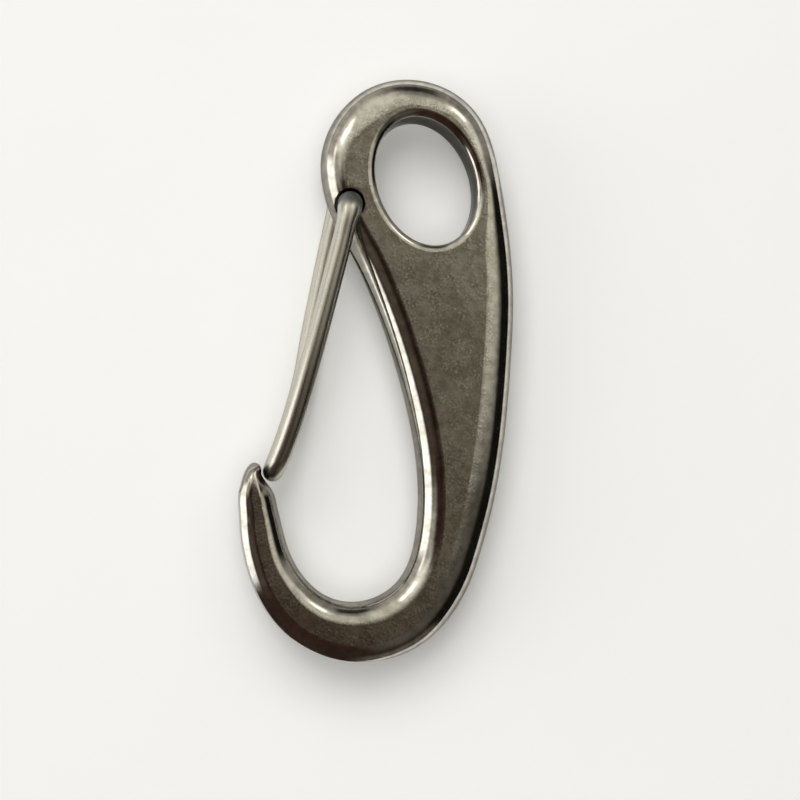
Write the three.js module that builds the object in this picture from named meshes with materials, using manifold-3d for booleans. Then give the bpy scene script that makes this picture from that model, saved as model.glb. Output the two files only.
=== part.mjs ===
// Spring snap hook: a one-piece egg-shaped hook body with a mooring eye, closed by a bent wire gate.
// The hook lies flat: X runs across it, Y from the bowl to the eye, Z through its thickness.
// The origin is the centre of its footprint, level with the lowest point. Millimetres.
import * as THREE from 'three';
import { mergeVertices } from 'three/addons/utils/BufferGeometryUtils.js';
import Module from 'manifold-3d';

const wasm = await Module();
wasm.setup();

// Hook body
const BODY_THICKNESS = 7.6;
const BODY_HALF = BODY_THICKNESS / 2;
const NOSE_TIP = new THREE.Vector2(-19.75, -20.1);
const NOSE_TIP_HALF = 1.2;
const NOSE_ROUND_LENGTH = 4.2;
const EDGE_STEPS = 5;
const EDGE_END_DEG = 82;
const OUTLINE_STEP_LENGTH = 3.2;
const OUTLINE_STEP_DEG = 7;

// Mooring eye: an ellipse whose long axis leans towards the gate side
const EYE_CENTRE = new THREE.Vector2(-0.2, 32.4);
const EYE_HALF_WIDTH = 8.45;
const EYE_HALF_LENGTH = 11.3;
const EYE_LEAN_DEG = 28;
const EYE_RIM_REACH = 1.3;
const EYE_RIM_DROP = 0.9;
const EYE_RIM_END_DEG = 80;
const EYE_RIM_STEPS = 4;
const EYE_SEGMENTS = 44;

// Blind pivot holes, one in each face, a little apart along the limb
const FRONT_PIVOT = new THREE.Vector2(-12.3, 25.85);
const BACK_PIVOT = new THREE.Vector2(-13.6, 28.8);
const PIVOT_RADIUS = 2.55;
const PIVOT_DEPTH = 3;
const PIVOT_SEGMENTS = 32;
const CUTTER_PROUD = 1;

// Wire gate
const WIRE_RADIUS = 1.7;
const WIRE_SIDES = 12;
const WIRE_STEPS = 150;
const LEG_GAP = 0.3;
const LEG_HEIGHT = BODY_HALF + LEG_GAP + WIRE_RADIUS;
const LEG_DIP_POWER = 4;
const ELBOW_RADIUS = 2.2;
const PIN_END_GAP = 0.4;
const BEND_CENTRE = new THREE.Vector2(-15.85, -18);
const BEND_RADIUS = 3.15;
const BEND_LEAN_DEG = 13;
const BEND_STEP_DEG = 30;

// Where each leg runs between its elbow and the nose bend: x, y
const FRONT_ROUTE = [
  [-12.6, 19.3],
  [-13.25, 9.2],
  [-13.95, -0.9],
  [-14.5, -7.6],
  [-15.1, -13.2],
];
const BACK_ROUTE = [
  [-13.8, 22],
  [-14, 14],
  [-14.15, 4],
  [-14.15, -4],
  [-14.8, -11.5],
];

const deg = THREE.MathUtils.degToRad;

// Outline stations, anticlockwise from the nose: x, y, heading in degrees, how far the rounded edge
// rolls in from there, and the angle at which it leaves the side wall.
const OUTLINE = [
  [-21.5, -24.9, -90, 1.9, 44],
  [-20.4, -30.2, -78, 2.2, 44],
  [-17.6, -38, -63, 2.3, 44],
  [-7.7, -48.2, -24, 2.4, 44],
  [0.2, -50, 0, 2.6, 42],
  [12.4, -45.8, 40, 3.4, 28],
  [19.3, -35, 73, 4.8, 10],
  [20.9, -25.9, 84, 5.1, 5],
  [21.5, -15.1, 90, 5.4, 5],
  [19.6, 9.4, 97, 5.3, 5],
  [17.2, 22.1, 105, 5.1, 5],
  [12.8, 35.5, 111, 3.1, 5],
  [7.5, 45.5, 133, 4.2, 5],
  [-3.1, 50, 180, 5.1, 5],
  [-14, 45.4, 227, 5.8, 5],
  [-18.4, 34.4, 270, 4.3, 5],
  [-16.5, 26.7, 294, 3.8, 5],
  [-12.2, 20.4, 309, 4, 5],
  [-8, 15, 305, 4.2, 5],
  [3.7, -5.9, 294, 4.2, 5],
  [9.2, -28.4, 270, 4.2, 5],
  [6.6, -36.7, 229, 4, 5],
  [-1.2, -40.3, 180, 3.8, 5],
  [-10.4, -35.1, 128, 3.3, 5],
  [-14.4, -27.5, 115, 2.8, 5],
  [-16.45, -23.7, 136, 2.6, 5],
  [-18.2, -22.1, 124, 1.4, 10],
  [-18.45, -21.2, 100, 1, 10],
  [-19.75, -20.1, 180, 1, 10],
  [-21.15, -21.6, 250, 1.4, 35],
];

function heading(angleDeg) {
  return new THREE.Vector2(Math.cos(deg(angleDeg)), Math.sin(deg(angleDeg)));
}

// A cubic curve from one station to the next that turns like an arc.
function stationCurve(from, to) {
  const start = new THREE.Vector2(from[0], from[1]);
  const end = new THREE.Vector2(to[0], to[1]);
  const turn = THREE.MathUtils.euclideanModulo(to[2] - from[2] + 180, 360) - 180;
  const handle = start.distanceTo(end) / (3 * Math.cos(deg(turn) / 4) ** 2);
  const leave = start.clone().addScaledVector(heading(from[2]), handle);
  const arrive = end.clone().addScaledVector(heading(to[2]), -handle);
  const curve = new THREE.CubicBezierCurve(start, leave, arrive, end);
  const steps = Math.max(curve.getLength() / OUTLINE_STEP_LENGTH, Math.abs(turn) / OUTLINE_STEP_DEG);
  return { curve, steps: Math.ceil(steps) };
}

// The outline as points, each with its inward direction, its edge roll and the roll's first angle.
function outlinePoints() {
  const points = [];
  OUTLINE.forEach((from, index) => {
    const to = OUTLINE[(index + 1) % OUTLINE.length];
    const { curve, steps } = stationCurve(from, to);
    for (let step = 0; step < steps; step += 1) {
      const t = step / steps;
      const tangent = curve.getTangent(t);
      const blend = THREE.MathUtils.smoothstep(t, 0, 1);
      points.push({
        at: curve.getPoint(t),
        inward: new THREE.Vector2(-tangent.y, tangent.x),
        roll: THREE.MathUtils.lerp(from[3], to[3], blend),
        startAngle: deg(THREE.MathUtils.lerp(from[4], to[4], blend)),
      });
    }
  });
  return points;
}

// The eye's wall as points, each with the direction away from the hole and its rim roll.
function eyePoints() {
  const lean = deg(EYE_LEAN_DEG);
  const points = [];
  for (let index = 0; index < EYE_SEGMENTS; index += 1) {
    const angle = (-2 * Math.PI * index) / EYE_SEGMENTS;
    const at = new THREE.Vector2(EYE_HALF_WIDTH * Math.cos(angle), EYE_HALF_LENGTH * Math.sin(angle));
    const away = new THREE.Vector2(Math.cos(angle) / EYE_HALF_WIDTH, Math.sin(angle) / EYE_HALF_LENGTH);
    const origin = new THREE.Vector2();
    at.rotateAround(origin, lean).add(EYE_CENTRE);
    away.normalize().rotateAround(origin, lean);
    points.push({ at, inward: away, roll: EYE_RIM_REACH });
  }
  return points;
}

// Half of the body's thickness, which rounds down to the nose's tip.
function halfThickness(point) {
  const away = Math.min(point.distanceTo(NOSE_TIP) / NOSE_ROUND_LENGTH, 1);
  return THREE.MathUtils.lerp(NOSE_TIP_HALF, BODY_HALF, Math.sqrt(away * (2 - away)));
}

// Rings of vertices over a rounded edge, from the top face round to the bottom face. Each section
// gives how far in its ring lies at a point, in rolls, and its height for a half thickness.
function edgeRings(points, sections) {
  return sections.map((section) => points.map((point) => {
    const { reach, height } = section(point);
    const spot = point.at.clone().addScaledVector(point.inward, point.roll * reach);
    return new THREE.Vector3(spot.x, spot.y, height(halfThickness(spot)));
  }));
}

// Steps over an edge: each face's side, and how far round the step is, from 0 at the face to 1.
function edgeTurns(steps) {
  const turns = [];
  for (const side of [1, -1]) {
    for (let step = 0; step <= steps; step += 1) {
      turns.push({ side, turned: side > 0 ? step / steps : 1 - step / steps });
    }
  }
  return turns;
}

// The outer edge rolls over from each face, which it meets at a slight angle, to the side wall.
function outerSections() {
  const endAngle = deg(EDGE_END_DEG);
  return edgeTurns(EDGE_STEPS).map(({ side, turned }) => ({ startAngle }) => {
    const angle = THREE.MathUtils.lerp(endAngle, startAngle, turned);
    const reach = (Math.cos(startAngle) - Math.cos(angle)) / (Math.cos(startAngle) - Math.cos(endAngle));
    return { reach, height: (half) => (side * half * Math.sin(angle)) / Math.sin(endAngle) };
  });
}

// The eye's rims leave each face at a slight angle and round down to a straight wall.
function eyeSections() {
  const endAngle = deg(EYE_RIM_END_DEG);
  return edgeTurns(EYE_RIM_STEPS).map(({ side, turned }) => () => {
    const angle = endAngle * (1 - turned);
    const reach = (1 - Math.cos(angle)) / (1 - Math.cos(endAngle));
    const drop = EYE_RIM_DROP * (1 - Math.sin(angle) / Math.sin(endAngle));
    return { reach, height: (half) => side * (half - drop) };
  });
}

// The body: both edges' rings, joined by flat faces at the top and the bottom.
function bodyGeometry() {
  const outer = edgeRings(outlinePoints(), outerSections());
  const eye = edgeRings(eyePoints(), eyeSections());
  const positions = [];
  const triangles = [];
  for (const rings of [outer, eye]) {
    const first = positions.length / 3;
    const count = rings[0].length;
    rings.flat().forEach((vertex) => positions.push(vertex.x, vertex.y, vertex.z));
    for (let ring = 0; ring + 1 < rings.length; ring += 1) {
      for (let index = 0; index < count; index += 1) {
        const next = (index + 1) % count;
        const a = first + ring * count + index;
        const b = first + ring * count + next;
        triangles.push(a, a + count, b + count, a, b + count, b);
      }
    }
  }
  const flat = (ring) => ring.map((vertex) => new THREE.Vector2(vertex.x, vertex.y));
  const faces = THREE.ShapeUtils.triangulateShape(flat(outer[0]), [flat(eye[0])]);
  const outerCount = outer[0].length;
  const eyeCount = eye[0].length;
  const eyeFirst = outer.length * outerCount;
  const topIndex = (index) => (index < outerCount ? index : eyeFirst + index - outerCount);
  const bottomIndex = (index) => (index < outerCount
    ? index + (outer.length - 1) * outerCount
    : eyeFirst + index - outerCount + (eye.length - 1) * eyeCount);
  for (const [a, b, c] of faces) {
    triangles.push(topIndex(a), topIndex(b), topIndex(c));
    triangles.push(bottomIndex(a), bottomIndex(c), bottomIndex(b));
  }
  const geometry = new THREE.BufferGeometry();
  geometry.setAttribute('position', new THREE.Float32BufferAttribute(positions, 3));
  geometry.setIndex(triangles);
  return geometry;
}

// A blind hole's cutter, from its floor to just above the face it opens in.
function pivotCutter(pivot, side) {
  const length = PIVOT_DEPTH + CUTTER_PROUD;
  const cutter = new THREE.CylinderGeometry(PIVOT_RADIUS, PIVOT_RADIUS, length, PIVOT_SEGMENTS);
  cutter.rotateX(Math.PI / 2);
  cutter.translate(pivot.x, pivot.y, side * (BODY_HALF + CUTTER_PROUD - length / 2));
  return cutter;
}

function toSolid(geometry) {
  const bare = geometry.clone();
  bare.deleteAttribute('normal');
  bare.deleteAttribute('uv');
  const merged = mergeVertices(bare);
  const vertProperties = new Float32Array(merged.attributes.position.array);
  const triVerts = new Uint32Array(merged.index.array);
  return new wasm.Manifold(new wasm.Mesh({ numProp: 3, vertProperties, triVerts }));
}

function toGeometry(solid) {
  const mesh = solid.getMesh();
  const geometry = new THREE.BufferGeometry();
  geometry.setAttribute('position', new THREE.BufferAttribute(new Float32Array(mesh.vertProperties), 3));
  geometry.setIndex(new THREE.BufferAttribute(new Uint32Array(mesh.triVerts), 1));
  geometry.computeVertexNormals();
  return geometry;
}

function hookBody() {
  const blank = toSolid(bodyGeometry());
  const front = toSolid(pivotCutter(FRONT_PIVOT, 1));
  const back = toSolid(pivotCutter(BACK_PIVOT, -1));
  const material = new THREE.MeshStandardMaterial({ color: 0x7d776b, roughness: 0.3, metalness: 1 });
  const mesh = new THREE.Mesh(toGeometry(blank.subtract(front).subtract(back)), material);
  mesh.name = 'hook_body';
  return mesh;
}

// One leg of the wire, from the end of its pin to the start of the nose bend. It runs level with the
// face at first and dips more and more towards the bend.
// side is +1 over the top face and -1 under the bottom face; route is x, y pairs.
function legPoints(pivot, side, route) {
  const pinEnd = BODY_HALF - PIVOT_DEPTH + PIN_END_GAP;
  const pinTop = LEG_HEIGHT - ELBOW_RADIUS;
  const points = [
    new THREE.Vector3(pivot.x, pivot.y, side * pinEnd),
    new THREE.Vector3(pivot.x, pivot.y, side * ((pinEnd + pinTop) / 2)),
  ];
  const away = new THREE.Vector2(...route[0]).sub(pivot).normalize();
  for (let angleDeg = 0; angleDeg <= 90; angleDeg += BEND_STEP_DEG) {
    const out = ELBOW_RADIUS * (1 - Math.cos(deg(angleDeg)));
    const up = pinTop + ELBOW_RADIUS * Math.sin(deg(angleDeg));
    points.push(new THREE.Vector3(pivot.x + away.x * out, pivot.y + away.y * out, side * up));
  }
  const top = pivot.y - ELBOW_RADIUS;
  for (const [x, y] of route) {
    const dip = ((top - y) / (top - BEND_CENTRE.y)) ** LEG_DIP_POWER;
    points.push(new THREE.Vector3(x, y, side * THREE.MathUtils.lerp(LEG_HEIGHT, BEND_RADIUS, dip)));
  }
  return points;
}

// The bend that joins the legs and rests on the nose.
function bendPoints() {
  const lean = deg(BEND_LEAN_DEG);
  const points = [];
  for (let angleDeg = 0; angleDeg <= 180; angleDeg += BEND_STEP_DEG) {
    const reach = BEND_RADIUS * Math.sin(deg(angleDeg));
    const height = BEND_RADIUS * Math.cos(deg(angleDeg));
    const x = BEND_CENTRE.x - reach * Math.sin(lean);
    const y = BEND_CENTRE.y - reach * Math.cos(lean);
    points.push(new THREE.Vector3(x, y, height));
  }
  return points;
}

function wireGate() {
  const frontLeg = legPoints(FRONT_PIVOT, 1, FRONT_ROUTE);
  const backLeg = legPoints(BACK_PIVOT, -1, BACK_ROUTE);
  const path = new THREE.CatmullRomCurve3([...frontLeg, ...bendPoints(), ...backLeg.reverse()]);
  const section = new THREE.Shape();
  section.absarc(0, 0, WIRE_RADIUS, 0, 2 * Math.PI);
  const geometry = new THREE.ExtrudeGeometry(section, {
    steps: WIRE_STEPS,
    curveSegments: WIRE_SIDES / 2,
    extrudePath: path,
  });
  const material = new THREE.MeshStandardMaterial({ color: 0xa8a69c, roughness: 0.2, metalness: 1 });
  const mesh = new THREE.Mesh(geometry, material);
  mesh.name = 'wire_gate';
  return mesh;
}

const snapHook = new THREE.Group();
snapHook.name = 'spring_snap_hook';
snapHook.add(hookBody());
snapHook.add(wireGate());
snapHook.position.z = -new THREE.Box3().setFromObject(snapHook).min.z;

export default snapHook;
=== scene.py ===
"""Looks for the spring snap hook: a tumble-polished cast hook body and its bright bent-wire gate.

Shapes are worked out in millimetres in the CAD frame and turned into metres as the meshes are made.
"""
import math

import bpy
import numpy as np
from mathutils import Matrix, Vector, geometry, noise


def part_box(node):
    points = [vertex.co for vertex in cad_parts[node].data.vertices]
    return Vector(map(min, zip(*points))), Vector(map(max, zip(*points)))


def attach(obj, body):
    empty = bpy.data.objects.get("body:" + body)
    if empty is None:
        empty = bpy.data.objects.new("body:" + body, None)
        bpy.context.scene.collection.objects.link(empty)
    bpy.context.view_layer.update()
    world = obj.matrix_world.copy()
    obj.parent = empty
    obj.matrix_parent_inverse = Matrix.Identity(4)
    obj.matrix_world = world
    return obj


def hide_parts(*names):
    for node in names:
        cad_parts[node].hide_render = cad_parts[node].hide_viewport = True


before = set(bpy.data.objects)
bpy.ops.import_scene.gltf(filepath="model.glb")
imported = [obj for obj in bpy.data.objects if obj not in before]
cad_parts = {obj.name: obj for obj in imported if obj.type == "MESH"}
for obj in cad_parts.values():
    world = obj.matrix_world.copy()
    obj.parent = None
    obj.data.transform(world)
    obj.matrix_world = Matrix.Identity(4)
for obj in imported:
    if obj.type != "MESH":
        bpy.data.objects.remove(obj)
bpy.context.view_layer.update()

MM = 0.001

# Hook body, the same driving sizes as the CAD
BODY_HALF = 3.8
NOSE_TIP = (-19.75, -20.1)
NOSE_TIP_HALF = 1.2
NOSE_ROUND_LENGTH = 4.2
EDGE_END = math.radians(82)
EYE_CENTRE = (-0.2, 32.4)
EYE_HALF_WIDTH = 8.45
EYE_HALF_LENGTH = 11.3
EYE_LEAN = math.radians(28)
EYE_RIM_REACH = 1.3
EYE_RIM_DROP = 0.9
EYE_RIM_END = math.radians(80)
FRONT_PIVOT = (-12.3, 25.85)
BACK_PIVOT = (-13.6, 28.8)
PIVOT_RADIUS = 2.55
PIVOT_DEPTH = 3.0

# Wire gate
WIRE_RADIUS = 1.7
LEG_GAP = 0.3
LEG_HEIGHT = BODY_HALF + LEG_GAP + WIRE_RADIUS
LEG_DIP_POWER = 4
ELBOW_RADIUS = 2.2
PIN_END_GAP = 0.4
BEND_CENTRE = (-15.85, -18.0)
BEND_RADIUS = 3.15
BEND_LEAN = math.radians(13)
FRONT_ROUTE = [(-12.6, 19.3), (-13.25, 9.2), (-13.95, -0.9), (-14.5, -7.6), (-15.1, -13.2)]
BACK_ROUTE = [(-13.8, 22.0), (-14.0, 14.0), (-14.15, 4.0), (-14.15, -4.0), (-14.8, -11.5)]

# Outline stations, anticlockwise from the nose: x, y, heading in degrees, how far the rounded edge
# rolls in from there, and the angle at which it leaves the side wall
OUTLINE = [
    (-21.5, -24.9, -90, 1.9, 44), (-20.4, -30.2, -78, 2.2, 44), (-17.6, -38.0, -63, 2.3, 44),
    (-7.7, -48.2, -24, 2.4, 44), (0.2, -50.0, 0, 2.6, 42), (12.4, -45.8, 40, 3.4, 28),
    (19.3, -35.0, 73, 4.8, 10), (20.9, -25.9, 84, 5.1, 5), (21.5, -15.1, 90, 5.4, 5),
    (19.6, 9.4, 97, 5.3, 5), (17.2, 22.1, 105, 5.1, 5), (12.8, 35.5, 111, 3.1, 5),
    (7.5, 45.5, 133, 4.2, 5), (-3.1, 50.0, 180, 5.1, 5), (-14.0, 45.4, 227, 5.8, 5),
    (-18.4, 34.4, 270, 4.3, 5), (-16.5, 26.7, 294, 3.8, 5), (-12.2, 20.4, 309, 4.0, 5),
    (-8.0, 15.0, 305, 4.2, 5), (3.7, -5.9, 294, 4.2, 5), (9.2, -28.4, 270, 4.2, 5),
    (6.6, -36.7, 229, 4.0, 5), (-1.2, -40.3, 180, 3.8, 5), (-10.4, -35.1, 128, 3.3, 5),
    (-14.4, -27.5, 115, 2.8, 5), (-16.45, -23.7, 136, 2.6, 5), (-18.2, -22.1, 124, 1.4, 10),
    (-18.45, -21.2, 100, 1.0, 10), (-19.75, -20.1, 180, 1.0, 10), (-21.15, -21.6, 250, 1.4, 35),
]

# Surface detail too fine for the CAD: the rims meet the flats at a crisp crease, the casting is
# slightly wavy, its nose is blended, and the wire spreads where it is bent into its holes
CREASE_WIDTH = 0.07
WAVE_HEIGHT = 0.016
WAVE_SPACING = 3.6
NOSE_BLEND_RADIUS = 6.0
NOSE_BLEND_STEPS = 22
NOSE_BLEND_FACTOR = 0.7
ELBOW_SPREAD = 0.22

# How finely the visible surfaces are made
OUTLINE_SPACING = 0.45
OUTLINE_TURN = math.radians(2.5)
EDGE_STEPS = 14
EYE_POINTS = 220
EYE_RIM_STEPS = 8
FACE_SPACING = 0.8
FACE_MARGIN = 0.55 * FACE_SPACING
FACE_WELD = 1e-7
WIRE_SIDES = 40
WIRE_SPACING = 0.2
WIRE_SMOOTHING = 0.3
SMOOTHING_REACH = 6
SPLINE_STEPS = 80
PIVOT_SIDES = 96
CUTTER_PROUD = 1
BODY_SHARP_ANGLE = math.radians(40)
WIRE_SHARP_ANGLE = math.radians(50)

# How the wire's ends are shaped and shaded: its rounded tips, where its spread starts above the
# face and over what height it grows, and how far along the wire the spread and the dullness with painted
# shade reach
WIRE_TIP_ROUND = 0.4
SPREAD_START = 0.05
SPREAD_RISE = 0.5
SPREAD_REACH = 4.5
SPREAD_FADE = 3.0
DULL_AND_SHADE_REACH = 4.4
DULL_AND_SHADE_FADE = 0.9

# How much rougher the body's side walls are, and how far painted shade darkens them, where 1 is the inside
# of a pivot hole
WALL_DULL_AND_SHADE = 0.55
EYE_DULL_AND_SHADE = 0.78
EYE_MARGIN = 1.5
HOLE_MARGIN = 0.02

# The middle of the body's thickness in the CAD frame
body_low, body_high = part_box("hook_body")
MID_HEIGHT = (body_low.z + body_high.z) / 2 / MM


# ---------------------------------------------------------------- geometry helpers

def smoothstep(value):
    value = np.clip(value, 0.0, 1.0)
    return value * value * (3 - 2 * value)


def heading(angle):
    return np.array([math.cos(math.radians(angle)), math.sin(math.radians(angle))])


def station_curve(start, end):
    """Points, unit tangents, edge rolls and first angles along the cubic between two stations."""
    first = np.array(start[:2])
    last = np.array(end[:2])
    turn = math.radians((end[2] - start[2] + 180) % 360 - 180)
    chord = np.linalg.norm(last - first)
    handle = chord / (3 * math.cos(turn / 4) ** 2)
    leave = first + heading(start[2]) * handle
    arrive = last - heading(end[2]) * handle
    count = max(2, math.ceil(max(chord / OUTLINE_SPACING, abs(turn) / OUTLINE_TURN)))
    t = (np.arange(count) / count)[:, None]
    points = ((1 - t) ** 3 * first + 3 * (1 - t) ** 2 * t * leave
              + 3 * (1 - t) * t ** 2 * arrive + t ** 3 * last)
    slopes = ((1 - t) ** 2 * (leave - first) + 2 * (1 - t) * t * (arrive - leave)
              + t ** 2 * (last - arrive))
    slopes /= np.linalg.norm(slopes, axis=1)[:, None]
    blend = smoothstep(t[:, 0])
    rolls = start[3] + (end[3] - start[3]) * blend
    first_angles = np.radians(start[4] + (end[4] - start[4]) * blend)
    return points, slopes, rolls, first_angles


def body_outline():
    """The outline's points, inward directions, edge rolls and the rolls' first angles."""
    pieces = [station_curve(a, b) for a, b in zip(OUTLINE, OUTLINE[1:] + OUTLINE[:1])]
    points = np.vstack([piece[0] for piece in pieces])
    slopes = np.vstack([piece[1] for piece in pieces])
    rolls = np.concatenate([piece[2] for piece in pieces])
    first_angles = np.concatenate([piece[3] for piece in pieces])
    inward = np.column_stack([-slopes[:, 1], slopes[:, 0]])
    return points, inward, rolls, first_angles


def eye_outline():
    """The eye's wall, clockwise, with the direction into the metal and the rim's roll."""
    angles = -2 * math.pi * np.arange(EYE_POINTS) / EYE_POINTS
    flat = np.column_stack([EYE_HALF_WIDTH * np.cos(angles), EYE_HALF_LENGTH * np.sin(angles)])
    away = np.column_stack([np.cos(angles) / EYE_HALF_WIDTH, np.sin(angles) / EYE_HALF_LENGTH])
    away /= np.linalg.norm(away, axis=1)[:, None]
    c, s = math.cos(EYE_LEAN), math.sin(EYE_LEAN)
    turn = np.array([[c, s], [-s, c]])
    rolls = np.full(EYE_POINTS, EYE_RIM_REACH)
    return flat @ turn + EYE_CENTRE, away @ turn, rolls, np.zeros(EYE_POINTS)


def half_thickness(points):
    """Half the body's thickness at points, rounded down to the nose's tip."""
    away = np.clip(np.linalg.norm(points - np.array(NOSE_TIP), axis=1) / NOSE_ROUND_LENGTH, 0, 1)
    return NOSE_TIP_HALF + (BODY_HALF - NOSE_TIP_HALF) * np.sqrt(away * (2 - away))


def crease_ring(outline, side):
    """A ring on the flat just inside a rolled edge, which keeps the crease between them crisp."""
    points, inward, rolls, _ = outline
    spots = points + inward * (rolls + CREASE_WIDTH)[:, None]
    return [np.column_stack([spots, side * half_thickness(spots)])]


def edge_rings(outline, sections):
    """Rings over a rounded edge from the top face to the bottom one."""
    points, inward, rolls, first_angles = outline
    rings = []
    for section in sections:
        reach, height = section(first_angles)
        spots = points + inward * (rolls * reach)[:, None]
        rings.append(np.column_stack([spots, height(half_thickness(spots))]))
    return rings


def edge_turns(steps):
    """Each face's side, and how far round the edge a step is, from 0 at the face to 1."""
    down = [(1, step / steps) for step in range(steps + 1)]
    return down + [(-1, turned) for _, turned in reversed(down)]


def outer_section(side, turned):
    """The outer edge rolls over from a face, which it meets at a slight angle, to the side wall."""
    def section(first_angles):
        angles = EDGE_END + (first_angles - EDGE_END) * turned
        reach = (np.cos(first_angles) - np.cos(angles)) / (np.cos(first_angles) - math.cos(EDGE_END))
        return reach, lambda half: side * half * np.sin(angles) / math.sin(EDGE_END)
    return section


def eye_section(side, turned):
    """The eye's rim leaves the face at a slight angle and rounds down to its wall."""
    angle = EYE_RIM_END * (1 - turned)
    reach = (1 - math.cos(angle)) / (1 - math.cos(EYE_RIM_END))
    drop = EYE_RIM_DROP * (1 - math.sin(angle) / math.sin(EYE_RIM_END))
    return lambda first_angles: (reach, lambda half: side * (half - drop))


def inside(points, polygon):
    """True for each point that lies inside the polygon."""
    x, y = points[:, 0][:, None], points[:, 1][:, None]
    ax, ay = polygon[:, 0], polygon[:, 1]
    bx, by = np.roll(ax, -1), np.roll(ay, -1)
    crosses = (ay > y) != (by > y)
    with np.errstate(divide="ignore", invalid="ignore"):
        cut = ax + (y - ay) * (bx - ax) / (by - ay)
    return (np.sum(crosses & (x < cut), axis=1) % 2) == 1


def nearest(points, others):
    """Distance from each point to the closest of the others."""
    return np.sqrt(((points[:, None, :] - others[None, :, :]) ** 2).sum(2)).min(1)


def face_grid(outer, eye):
    """Points spread over the flat between the outer edge's ring and the eye's ring."""
    low, high = outer.min(0), outer.max(0)
    row_step = FACE_SPACING * math.sqrt(3) / 2
    rows = np.arange(low[1], high[1], row_step)
    grid = [(x + (FACE_SPACING / 2 if k % 2 else 0), y)
            for k, y in enumerate(rows) for x in np.arange(low[0], high[0], FACE_SPACING)]
    grid = np.array(grid)
    grid = grid[inside(grid, outer) & ~inside(grid, eye)]
    return grid[nearest(grid, np.vstack([outer, eye])) > FACE_MARGIN]


def face_triangles(outer, eye, grid):
    """Triangles over the flat, as indices into outer, then eye, then grid."""
    points = np.vstack([outer, eye, grid])
    count, eye_count = len(outer), len(eye)
    edges = [(i, (i + 1) % count) for i in range(count)]
    edges += [(count + i, count + (i + 1) % eye_count) for i in range(eye_count)]
    found = geometry.delaunay_2d_cdt([Vector(p) for p in points], edges, [], 0, FACE_WELD)
    faces = np.array([list(face) for face in found[2]])
    spots = np.array([list(v) for v in found[0]])
    centres = spots[faces].mean(1)
    return faces[inside(centres, outer) & ~inside(centres, eye)]


def new_object(name, vertices, faces):
    """A mesh object from vertices in millimetres."""
    mesh = bpy.data.meshes.new(name)
    mesh.from_pydata((np.asarray(vertices) * MM).tolist(), [], [list(map(int, face)) for face in faces])
    mesh.update()
    thing = bpy.data.objects.new(name, mesh)
    bpy.context.scene.collection.objects.link(thing)
    return thing


# ---------------------------------------------------------------- hook body

def wavy(vertices):
    """The casting's slight waviness, which only ever takes metal away."""
    depth = [WAVE_HEIGHT * (0.5 + 0.5 * noise.noise(Vector(spot) / WAVE_SPACING)) for spot in vertices]
    upright = np.clip(np.abs(vertices[:, 2]) / BODY_HALF, 0, 1) ** 2
    shallower = np.sign(vertices[:, 2]) * np.array(depth) * upright
    return vertices - np.column_stack([np.zeros(len(vertices)), np.zeros(len(vertices)), shallower])


def creased_rings(outline, section, steps):
    """All the rings of one rounded edge, with a crease ring on each flat."""
    rings = edge_rings(outline, [section(*turn) for turn in edge_turns(steps)])
    return crease_ring(outline, 1) + rings + crease_ring(outline, -1)


def ring_faces(first, rings):
    """Quads between successive rings, whose vertices start at index first."""
    faces = []
    count = len(rings[0])
    for ring in range(len(rings) - 1):
        for i in range(count):
            a = first + ring * count + i
            b = first + ring * count + (i + 1) % count
            faces.append((a, a + count, b + count, b))
    return faces


def body_mesh():
    """The body as a closed mesh, without its pivot holes."""
    outer = creased_rings(body_outline(), outer_section, EDGE_STEPS)
    eye = creased_rings(eye_outline(), eye_section, EYE_RIM_STEPS)
    count, eye_count = len(outer[0]), len(eye[0])
    eye_first = len(outer) * count
    grid_first = eye_first + len(eye) * eye_count
    faces = ring_faces(0, outer) + ring_faces(eye_first, eye)
    grid = face_grid(outer[0][:, :2], eye[0][:, :2])
    triangles = face_triangles(outer[0][:, :2], eye[0][:, :2], grid)
    top = np.concatenate([
        np.arange(count),
        eye_first + np.arange(eye_count),
        grid_first + np.arange(len(grid))])
    bottom = np.concatenate([
        (len(outer) - 1) * count + np.arange(count),
        eye_first + (len(eye) - 1) * eye_count + np.arange(eye_count),
        grid_first + len(grid) + np.arange(len(grid))])
    faces.extend(top[triangles].tolist())
    faces.extend(bottom[triangles[:, ::-1]].tolist())
    half = half_thickness(grid)
    flats = [np.column_stack([grid, half]), np.column_stack([grid, -half])]
    return wavy(np.vstack(outer + eye + flats)) + [0, 0, MID_HEIGHT], faces


def pivot_cutter(name, pivot, side):
    """A round cutter for one blind pivot hole, opening on the side's face."""
    angles = 2 * math.pi * np.arange(PIVOT_SIDES) / PIVOT_SIDES
    circle = np.column_stack([np.cos(angles), np.sin(angles)]) * PIVOT_RADIUS + pivot
    floor = side * (BODY_HALF - PIVOT_DEPTH)
    low, high = sorted((floor, side * (BODY_HALF + CUTTER_PROUD)))
    rings = [np.column_stack([circle, np.full(PIVOT_SIDES, z + MID_HEIGHT)]) for z in (low, high)]
    faces = []
    for i in range(PIVOT_SIDES):
        following = (i + 1) % PIVOT_SIDES
        faces.append((i, following, PIVOT_SIDES + following, PIVOT_SIDES + i))
    faces += [tuple(reversed(range(PIVOT_SIDES))), tuple(range(PIVOT_SIDES, 2 * PIVOT_SIDES))]
    return new_object(name, np.vstack(rings), faces)


def apply_modifiers(thing):
    bpy.context.view_layer.update()
    graph = bpy.context.evaluated_depsgraph_get()
    mesh = bpy.data.meshes.new_from_object(thing.evaluated_get(graph))
    thing.modifiers.clear()
    thing.data = mesh


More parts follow.
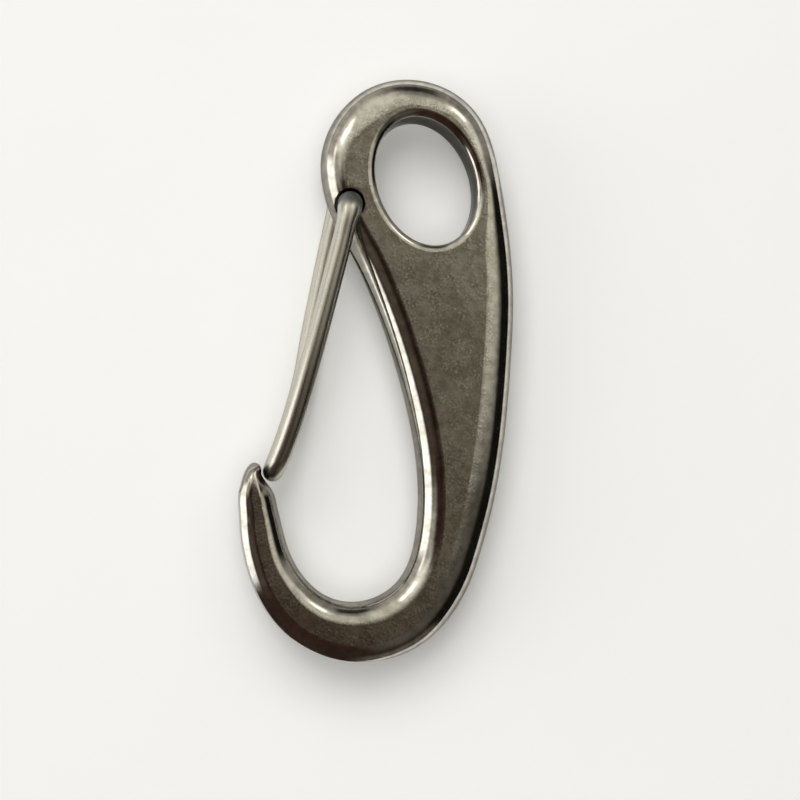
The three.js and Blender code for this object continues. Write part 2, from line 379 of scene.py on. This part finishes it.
def blend_nose(body):
    """Softens the nose's ridges, most at its tip."""
    near_nose = body.vertex_groups.new(name="nose")
    nose = Vector((*NOSE_TIP, MID_HEIGHT)) * MM
    for vertex in body.data.vertices:
        away = (vertex.co - nose).length / (NOSE_BLEND_RADIUS * MM)
        if away < 1:
            near_nose.add([vertex.index], (1 - away) ** 0.5, "REPLACE")
    blend = body.modifiers.new("nose", "SMOOTH")
    blend.factor = NOSE_BLEND_FACTOR
    blend.iterations = NOSE_BLEND_STEPS
    blend.vertex_group = "nose"


def hook_body():
    body = new_object("hook_casting", *body_mesh())
    blend_nose(body)
    cutters = [pivot_cutter("front_cutter", FRONT_PIVOT, 1), pivot_cutter("back_cutter", BACK_PIVOT, -1)]
    for cutter in cutters:
        cut = body.modifiers.new("pivot", "BOOLEAN")
        cut.operation = "DIFFERENCE"
        cut.solver = "EXACT"
        cut.object = cutter
    apply_modifiers(body)
    for cutter in cutters:
        bpy.data.objects.remove(cutter)
    body.data.shade_smooth()
    body.data.set_sharp_from_angle(angle=BODY_SHARP_ANGLE)
    # Painted shade: the side walls, the eye's wall and the pivot holes are marked here, for the material
    # to darken them
    paint(body.data, "dull_and_painted_shade", body_dull_and_shade(body.data))
    return body


def paint(mesh, name, values):
    """A value at every vertex, for the material to read."""
    layer = mesh.attributes.new(name, "FLOAT", "POINT")
    layer.data.foreach_set("value", values)


def body_dull_and_shade(mesh):
    """Painted shade, with added roughness: 1 inside the pivot holes, less on the side walls and the eye's
    wall, 0 on the polished faces.
    """
    spots = np.array([vertex.co for vertex in mesh.vertices]) / MM - [0, 0, MID_HEIGHT]
    upright = np.abs(np.array([vertex.normal.z for vertex in mesh.vertices]))
    dull_and_painted_shade = WALL_DULL_AND_SHADE * (1 - smoothstep((upright - 0.6) / 0.1))
    in_eye = np.linalg.norm((spots[:, :2] - EYE_CENTRE) / (EYE_HALF_LENGTH + EYE_MARGIN), axis=1) < 1
    dull_and_painted_shade[in_eye] = EYE_DULL_AND_SHADE * (1 - smoothstep((upright[in_eye] - 0.1) / 0.6))
    for pivot, side in ((FRONT_PIVOT, 1), (BACK_PIVOT, -1)):
        near = np.linalg.norm(spots[:, :2] - pivot, axis=1) < PIVOT_RADIUS + HOLE_MARGIN
        dull_and_painted_shade[near & (side * spots[:, 2] > 0)] = 1.0
    return dull_and_painted_shade


# ---------------------------------------------------------------- wire gate

def leg_points(pivot, side, route):
    """One leg of the wire from its pin's end to the start of the nose bend."""
    pivot = np.array(pivot)
    pin_end = BODY_HALF - PIVOT_DEPTH + PIN_END_GAP
    pin_top = LEG_HEIGHT - ELBOW_RADIUS
    away = np.array(route[0]) - pivot
    away /= np.linalg.norm(away)
    points = [(*pivot, side * pin_end), (*pivot, side * (pin_end + pin_top) / 2)]
    for angle in np.radians([0, 30, 60, 90]):
        spot = pivot + away * ELBOW_RADIUS * (1 - math.cos(angle))
        points.append((*spot, side * (pin_top + ELBOW_RADIUS * math.sin(angle))))
    top = pivot[1] - ELBOW_RADIUS
    for x, y in route:
        dip = ((top - y) / (top - BEND_CENTRE[1])) ** LEG_DIP_POWER
        points.append((x, y, side * (LEG_HEIGHT + (BEND_RADIUS - LEG_HEIGHT) * dip)))
    return points


def bend_points():
    """The bend that joins the legs at the nose."""
    points = []
    for angle in np.radians(np.arange(0, 181, 30)):
        reach = BEND_RADIUS * math.sin(angle)
        x = BEND_CENTRE[0] - reach * math.sin(BEND_LEAN)
        y = BEND_CENTRE[1] - reach * math.cos(BEND_LEAN)
        points.append((x, y, BEND_RADIUS * math.cos(angle)))
    return points


def smooth_path(controls, spacing):
    """Evenly spaced points on a centripetal spline through the controls, lightly smoothed."""
    controls = np.array(controls, float)
    ends = (2 * controls[0] - controls[1], 2 * controls[-1] - controls[-2])
    padded = np.vstack([ends[0], controls, ends[1]])
    dense = []
    for k in range(1, len(padded) - 2):
        p0, p1, p2, p3 = padded[k - 1:k + 3]
        t1 = np.linalg.norm(p1 - p0) ** 0.5
        t2 = t1 + np.linalg.norm(p2 - p1) ** 0.5
        t3 = t2 + np.linalg.norm(p3 - p2) ** 0.5
        t = np.linspace(t1, t2, SPLINE_STEPS, endpoint=False)[:, None]
        a1 = (t1 - t) / t1 * p0 + t / t1 * p1
        a2 = (t2 - t) / (t2 - t1) * p1 + (t - t1) / (t2 - t1) * p2
        a3 = (t3 - t) / (t3 - t2) * p2 + (t - t2) / (t3 - t2) * p3
        b1 = (t2 - t) / t2 * a1 + t / t2 * a2
        b2 = (t3 - t) / (t3 - t1) * a2 + (t - t1) / (t3 - t1) * a3
        dense.append((t2 - t) / (t2 - t1) * b1 + (t - t1) / (t2 - t1) * b2)
    dense.append(padded[-2][None])
    dense = np.vstack(dense)
    length = np.concatenate([[0], np.cumsum(np.linalg.norm(np.diff(dense, axis=0), axis=1))])
    even = np.linspace(0, length[-1], round(length[-1] / spacing) + 1)
    path = np.column_stack([np.interp(even, length, dense[:, axis]) for axis in range(3)])
    width = WIRE_SMOOTHING / spacing
    reach = SMOOTHING_REACH
    window = np.exp(-0.5 * (np.arange(-reach, reach + 1) / width) ** 2)
    window /= window.sum()
    before = 2 * path[0] - path[reach:0:-1]
    after = 2 * path[-1] - path[-2:-reach - 2:-1]
    extended = np.vstack([before, path, after])
    return np.column_stack([np.convolve(extended[:, axis], window, "valid") for axis in range(3)])


def wire_path():
    """Points along the wire's middle, from the front pin's end to the back pin's end."""
    controls = leg_points(FRONT_PIVOT, 1, FRONT_ROUTE) + bend_points()
    controls += leg_points(BACK_PIVOT, -1, BACK_ROUTE)[::-1]
    return smooth_path(controls, WIRE_SPACING) + [0, 0, MID_HEIGHT]


def wire_rings(path, from_end):
    """The wire's surface as rings of points round its path, given the way to its nearer end."""
    tangents = np.gradient(path, axis=0)
    tangents /= np.linalg.norm(tangents, axis=1)[:, None]
    tip = np.clip(WIRE_TIP_ROUND - from_end, 0, None)
    radii = WIRE_RADIUS - WIRE_TIP_ROUND + np.sqrt(np.clip(WIRE_TIP_ROUND ** 2 - tip ** 2, 0, None))
    side = np.array([1.0, 0.0, 0.0])
    angles = 2 * math.pi * np.arange(WIRE_SIDES) / WIRE_SIDES
    vertices = []
    above_face = np.abs(path[:, 2] - MID_HEIGHT) - BODY_HALF
    above_hole = smoothstep((above_face - SPREAD_START) / SPREAD_RISE)
    spread = ELBOW_SPREAD * above_hole * (1 - smoothstep((from_end - SPREAD_REACH) / SPREAD_FADE))
    for spot, tangent, radius, wider in zip(path, tangents, radii, spread):
        side = side - tangent * side.dot(tangent)
        side /= np.linalg.norm(side)
        other = np.cross(tangent, side)
        ring = radius * (np.cos(angles)[:, None] * side + np.sin(angles)[:, None] * other)
        ring[:, 0] *= 1 + wider
        ring[:, 1] *= np.where(ring[:, 1] > 0, 1 + wider, 1)
        vertices.append(spot + ring)
    return vertices


def wire_faces(ring_count):
    """Quads along the wire and a cap on each end."""
    faces = []
    for ring in range(ring_count - 1):
        for i in range(WIRE_SIDES):
            a = ring * WIRE_SIDES + i
            b = ring * WIRE_SIDES + (i + 1) % WIRE_SIDES
            faces.append((a, b, b + WIRE_SIDES, a + WIRE_SIDES))
    last = (ring_count - 1) * WIRE_SIDES
    faces.append(tuple(reversed(range(WIRE_SIDES))))
    faces.append(tuple(range(last, last + WIRE_SIDES)))
    return faces


def map_flow(mesh, along):
    """A map whose U goes round the wire and whose V goes along it, for the drawn lines."""
    flow = mesh.uv_layers.new(name="flow")
    for polygon in mesh.polygons:
        rings = [mesh.loops[k].vertex_index // WIRE_SIDES for k in polygon.loop_indices]
        turns = [mesh.loops[k].vertex_index % WIRE_SIDES for k in polygon.loop_indices]
        wraps = max(turns) - min(turns) > WIRE_SIDES / 2
        for loop, ring, turn in zip(polygon.loop_indices, rings, turns):
            around = turn + (WIRE_SIDES if wraps and turn == 0 else 0)
            flow.data[loop].uv = (around / WIRE_SIDES, along[ring] / along[-1])


def wire_gate():
    path = wire_path()
    along = np.concatenate([[0], np.cumsum(np.linalg.norm(np.diff(path, axis=0), axis=1))])
    from_end = np.minimum(along, along[-1] - along)
    gate = new_object("gate_wire", np.vstack(wire_rings(path, from_end)), wire_faces(len(path)))
    map_flow(gate.data, along)
    # Painted shade: the wire grows darker, and rougher, towards its ends in the holes
    dull_and_painted_shade = 1 - smoothstep((from_end - DULL_AND_SHADE_REACH) / DULL_AND_SHADE_FADE)
    paint(gate.data, "dull_and_painted_shade", np.repeat(dull_and_painted_shade, WIRE_SIDES))
    gate.data.shade_smooth()
    gate.data.set_sharp_from_angle(angle=WIRE_SHARP_ANGLE)
    return gate


# ---------------------------------------------------------------- materials

class Nodes:
    """Small helper for building node trees."""

    def __init__(self, tree):
        self.tree = tree

    def add(self, kind, settings=None, **inputs):
        node = self.tree.nodes.new(kind)
        for name, value in (settings or {}).items():
            setattr(node, name, value)
        for name, value in inputs.items():
            self.put(node, name, value)
        return node

    def put(self, node, name, value):
        key = int(name[1:]) if name[0] == "i" and name[1:].isdigit() else name.replace("_", " ")
        socket = node.inputs[key]
        if isinstance(value, bpy.types.NodeSocket):
            self.tree.links.new(value, socket)
        else:
            socket.default_value = value

    def math(self, operation, first, second=0.0, third=0.0):
        node = self.add("ShaderNodeMath", {"operation": operation}, i0=first, i1=second, i2=third)
        return node.outputs[0]

    def ramp(self, value, low, high, to_low=0.0, to_high=1.0, kind="SMOOTHSTEP"):
        node = self.add("ShaderNodeMapRange", {"interpolation_type": kind}, Value=value)
        limits = {"From Min": low, "From Max": high, "To Min": to_low, "To Max": to_high}
        for name, setting in limits.items():
            node.inputs[name].default_value = setting
        return node.outputs[0]

    def mix(self, factor, first, second):
        node = self.add("ShaderNodeMix", {"data_type": "RGBA"})
        for socket, value in ((node.inputs[0], factor), (node.inputs[6], first), (node.inputs[7], second)):
            if isinstance(value, bpy.types.NodeSocket):
                self.tree.links.new(value, socket)
            else:
                socket.default_value = value
        return node.outputs[2]

    def noise(self, vector, scale, detail=2.0, roughness=0.5):
        node = self.add("ShaderNodeTexNoise", Vector=vector, Scale=scale, Detail=detail)
        node.inputs["Roughness"].default_value = roughness
        return node.outputs[0]


def new_material(name):
    material = bpy.data.materials.new(name)
    material.use_nodes = True
    tree = material.node_tree
    tree.nodes.clear()
    nodes = Nodes(tree)
    shader = nodes.add("ShaderNodeBsdfPrincipled")
    shader.inputs["Metallic"].default_value = 1.0
    output = nodes.add("ShaderNodeOutputMaterial")
    tree.links.new(shader.outputs[0], output.inputs[0])
    return material, nodes, shader


def cast_stainless():
    """Tumble-polished casting: satin, speckled flats with painted glints, bright rounded edges, and
    rougher side walls, eye wall and pivot holes darkened with painted shade.
    """
    material, nodes, shader = new_material("cast_stainless")
    place = nodes.add("ShaderNodeTexCoord").outputs["Object"]
    normal = nodes.add("ShaderNodeNewGeometry").outputs["Normal"]
    dull_and_painted_shade = nodes.add("ShaderNodeAttribute", {"attribute_name": "dull_and_painted_shade"}).outputs["Fac"]
    upright = nodes.math("ABSOLUTE", nodes.add("ShaderNodeSeparateXYZ", Vector=normal).outputs[2])
    flat = nodes.ramp(upright, 0.955, 0.998)
    cloud = nodes.noise(place, 170.0, 4.0, 0.6)
    patches = nodes.ramp(nodes.noise(place, 420.0, 2.0), 0.35, 0.65, 0.25, 1.0)
    grain = nodes.noise(place, 2300.0, 3.0, 0.7)
    speckled = nodes.math("MULTIPLY", flat, patches)
    glint = nodes.math("MULTIPLY", nodes.ramp(grain, 0.53, 0.66), speckled)
    pit = nodes.math("MULTIPLY", nodes.ramp(grain, 0.33, 0.47, 1.0, 0.0), speckled)
    blotches = nodes.noise(place, 760.0, 2.0)
    mottle = nodes.math("MULTIPLY_ADD", blotches, 0.5, nodes.math("MULTIPLY", cloud, 0.5))
    tint = nodes.mix(nodes.ramp(mottle, 0.35, 0.65), (0.45, 0.425, 0.37, 1), (0.69, 0.66, 0.595, 1))
    # Painted highlights: bright glints mixed into the flats' colour
    tint = nodes.mix(nodes.math("MULTIPLY", glint, 0.9), tint, (0.98, 0.95, 0.86, 1))
    tint = nodes.mix(nodes.math("MULTIPLY", pit, 0.8), tint, (0.24, 0.215, 0.18, 1))
    # Painted shade: the side walls, the eye's wall and the pivot holes get a dark colour here and dimmer
    # reflections below
    tint = nodes.mix(dull_and_painted_shade, tint, (0.10, 0.096, 0.085, 1))
    nodes.put(shader, "Base Color", tint)
    nodes.put(shader, "Specular Tint", nodes.mix(dull_and_painted_shade, (0.9, 0.9, 0.9, 1), (0.2, 0.2, 0.2, 1)))
    satin = nodes.ramp(cloud, 0.3, 0.7, 0.12, 0.18)
    bright = nodes.ramp(cloud, 0.3, 0.7, 0.07, 0.11)
    roughness = nodes.math("MULTIPLY_ADD", flat, nodes.math("SUBTRACT", satin, bright), bright)
    nodes.put(shader, "Roughness", nodes.math("MULTIPLY_ADD", dull_and_painted_shade, 0.08, roughness))
    ripple = nodes.noise(place, 650.0, 2.0)
    grain_depth = nodes.math("MULTIPLY_ADD", speckled, 0.5, 0.02)
    ripple_height = nodes.math("MULTIPLY", ripple, 0.25)
    height = nodes.math("MULTIPLY_ADD", grain, grain_depth, ripple_height)
    bump = nodes.add("ShaderNodeBump", Strength=0.5, Distance=0.00005, Height=height)
    nodes.put(shader, "Normal", bump.outputs[0])
    return material


def spring_wire():
    """Satin drawn wire with faint lines along its length, rougher and darkened with painted shade where it
    is bent into its holes.
    """
    material, nodes, shader = new_material("spring_wire")
    flow = nodes.add("ShaderNodeUVMap", {"uv_map": "flow"}).outputs[0]
    place = nodes.add("ShaderNodeTexCoord").outputs["Object"]
    dull_and_painted_shade = nodes.add("ShaderNodeAttribute", {"attribute_name": "dull_and_painted_shade"}).outputs["Fac"]
    stretched = nodes.add("ShaderNodeMapping", Vector=flow)
    stretched.inputs["Scale"].default_value = (60.0, 8.0, 1.0)
    lines = nodes.noise(stretched.outputs[0], 1.0, 4.0, 0.65)
    cloud = nodes.noise(place, 260.0, 4.0, 0.6)
    grain = nodes.noise(place, 2600.0, 2.0, 0.6)
    tint = nodes.mix(cloud, (0.58, 0.56, 0.49, 1), (0.70, 0.68, 0.60, 1))
    tint = nodes.mix(nodes.ramp(grain, 0.35, 0.65, 0.0, 0.22), tint, (0.44, 0.42, 0.36, 1))
    # Painted shade towards the wire's ends in the holes
    tint = nodes.mix(dull_and_painted_shade, tint, (0.21, 0.21, 0.21, 1))
    nodes.put(shader, "Base Color", tint)
    shader.inputs["Specular Tint"].default_value = (0.6, 0.6, 0.6, 1)
    satin = nodes.ramp(lines, 0.3, 0.7, 0.24, 0.33)
    nodes.put(shader, "Roughness", nodes.math("MULTIPLY_ADD", dull_and_painted_shade, 0.2, satin))
    height = nodes.math("MULTIPLY_ADD", grain, 0.35, lines)
    bump = nodes.add("ShaderNodeBump", Strength=0.16, Distance=0.00003, Height=height)
    nodes.put(shader, "Normal", bump.outputs[0])
    return material


def paper():
    material, nodes, shader = new_material("floor_paper")
    shader.inputs["Metallic"].default_value = 0.0
    shader.inputs["Roughness"].default_value = 0.9
    place = nodes.add("ShaderNodeTexCoord").outputs["Object"]
    cloud = nodes.noise(place, 40.0, 3.0)
    nodes.put(shader, "Base Color", nodes.mix(cloud, (0.93, 0.93, 0.925, 1), (0.95, 0.95, 0.95, 1)))
    return material


# ---------------------------------------------------------------- stage

# Floor size and camera distance in metres, camera aim in millimetres, angles in degrees
FLOOR_HALF_SIZE = 3.0
CAMERA_AIM = (2.5, -5.05, MID_HEIGHT)
CAMERA_AZIMUTH = -138.0
CAMERA_ELEVATION = 81.15
CAMERA_ROLL = 10.32
CAMERA_DISTANCE = 0.34065


def direction(azimuth, elevation):
    """Unit vector towards an azimuth, measured from +X towards +Y, and an elevation."""
    azimuth, elevation = math.radians(azimuth), math.radians(elevation)
    level = math.cos(elevation)
    return Vector((level * math.cos(azimuth), level * math.sin(azimuth), math.sin(elevation)))


def floor():
    half = FLOOR_HALF_SIZE
    corners = [(-half, -half, 0), (half, -half, 0), (half, half, 0), (-half, half, 0)]
    plane = new_object("floor", np.array(corners) / MM, [(0, 1, 2, 3)])
    plane.data.materials.append(paper())


# What the metal reflects, as soft-edged panels laid over one another: azimuth, elevation, half
# width, half height and edge softness in degrees, then colour and strength
PANELS = [
    (0, 90, 180, 100, 1, (1.0, 0.55, 0.38), 0.043),
    (270, 15, 100, 30, 14, (1.0, 0.66, 0.50), 0.042),
    (338, 56, 36, 18, 10, (1.0, 0.93, 0.78), 0.10),
    (315, 8, 26, 14, 8, (1.0, 0.96, 0.82), 0.13),
    (206, 77, 24, 6, 4, (1.0, 0.70, 0.50), 0.016),
    (208, 56, 12, 12, 7, (1.0, 0.80, 0.64), 0.10),
    (68, 77, 72, 8, 10, (1.0, 0.89, 0.68), 0.16),
    (86, 54, 73, 17, 10, (1.0, 0.965, 0.84), 0.70),
    (85, 20, 78, 20, 8, (1.0, 0.97, 0.88), 0.30),
    (149, 18, 34, 20, 7, (1.0, 0.97, 0.88), 0.50),
    (92, 21, 14, 10, 5, (1.0, 0.95, 0.85), 0.04),
    (125, 46, 22, 16, 10, (1.0, 0.97, 0.87), 0.82),
    (57, 42, 15, 9, 6, (1.0, 0.97, 0.88), 0.95),
    (152, 46, 20, 14, 8, (1.0, 0.98, 0.90), 1.15),
    (176, 44, 12, 12, 7, (1.0, 0.97, 0.88), 0.50),
    (140, 45, 10, 6, 3, (1.0, 1.0, 0.95), 2.6),
    (62, 43, 7, 5, 3, (1.0, 1.0, 0.95), 2.4),
    (165, 34, 7, 4, 3, (1.0, 1.0, 0.95), 1.5),
    (193, 18, 20, 19, 5, (1.0, 1.0, 0.97), 1.9),
    (3, 15, 30, 20, 6, (1.0, 0.93, 0.75), 0.010),
]


def studio():
    """The surroundings: a dim warm room, pale towards +Y, with a bright window low on the left."""
    world = bpy.data.worlds.new("studio")
    world.use_nodes = True
    tree = world.node_tree
    tree.nodes.clear()
    nodes = Nodes(tree)
    way = nodes.add("ShaderNodeTexCoord").outputs["Generated"]
    split = nodes.add("ShaderNodeSeparateXYZ", Vector=way)
    x, y, z = split.outputs
    rise = nodes.math("MULTIPLY", nodes.math("ARCSINE", z), 180 / math.pi)
    colour = (0.0, 0.0, 0.0, 1.0)
    for azimuth, elevation, half_width, half_height, soft, tint, strength in PANELS:
        c, s = math.cos(math.radians(azimuth)), math.sin(math.radians(azimuth))
        ahead = nodes.math("MULTIPLY_ADD", x, c, nodes.math("MULTIPLY", y, s))
        aside = nodes.math("MULTIPLY_ADD", y, c, nodes.math("MULTIPLY", x, -s))
        turn = nodes.math("ABSOLUTE", nodes.math("ARCTAN2", aside, ahead))
        swing = nodes.math("MULTIPLY", turn, 180 / math.pi)
        lift = nodes.math("ABSOLUTE", nodes.math("SUBTRACT", rise, elevation))
        across = nodes.ramp(swing, half_width - soft, half_width + soft, 1.0, 0.0)
        up = nodes.ramp(lift, half_height - soft, half_height + soft, 1.0, 0.0)
        glow = (*[part * strength for part in tint], 1)
        colour = nodes.mix(nodes.math("MULTIPLY", across, up), colour, glow)
    background = nodes.add("ShaderNodeBackground", Color=colour, Strength=1.0)
    output = nodes.add("ShaderNodeOutputWorld")
    tree.links.new(background.outputs[0], output.inputs[0])
    bpy.context.scene.world = world


def fill_light(name, azimuth, elevation, distance, size, power):
    """A large soft lamp that lights the floor and isn't seen in the metal."""
    lamp = bpy.data.lights.new(name, "AREA")
    lamp.shape = "DISK"
    lamp.size = size
    lamp.energy = power
    thing = bpy.data.objects.new(name, lamp)
    bpy.context.scene.collection.objects.link(thing)
    thing.location = direction(azimuth, elevation) * distance
    thing.rotation_euler = direction(azimuth, elevation).to_track_quat("Z", "Y").to_euler()
    thing.visible_glossy = False


def camera():
    """A long-lens view down on the front face from a little below left of it."""
    aim = Vector(CAMERA_AIM) * MM
    back = direction(CAMERA_AZIMUTH, CAMERA_ELEVATION)
    up = Vector((0, 1, 0)) - back * back.y
    up.normalize()
    up = Matrix.Rotation(math.radians(CAMERA_ROLL), 3, back) @ up
    right = up.cross(back)
    turned = Matrix((right, up, back)).transposed().to_4x4()
    lens = bpy.data.cameras.new("camera")
    lens.sensor_width = 36.0
    lens.lens = 90.0
    lens.clip_start = 0.01
    eye = bpy.data.objects.new("camera", lens)
    bpy.context.scene.collection.objects.link(eye)
    eye.matrix_world = Matrix.Translation(aim + back * CAMERA_DISTANCE) @ turned
    bpy.context.scene.camera = eye


# ---------------------------------------------------------------- the object

camera()
floor()
studio()
fill_light("key", 118, 54, 1.2, 0.9, 4.8)
fill_light("overhead_fill", 225, 79, 1.2, 1.2, 6.3)
bpy.context.scene.view_settings.view_transform = "Standard"

casting = hook_body()
casting.data.materials.append(cast_stainless())
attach(casting, "hook")
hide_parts("hook_body")

gate = wire_gate()
gate.data.materials.append(spring_wire())
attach(gate, "gate")
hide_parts("wire_gate")

bpy.context.view_layer.update()
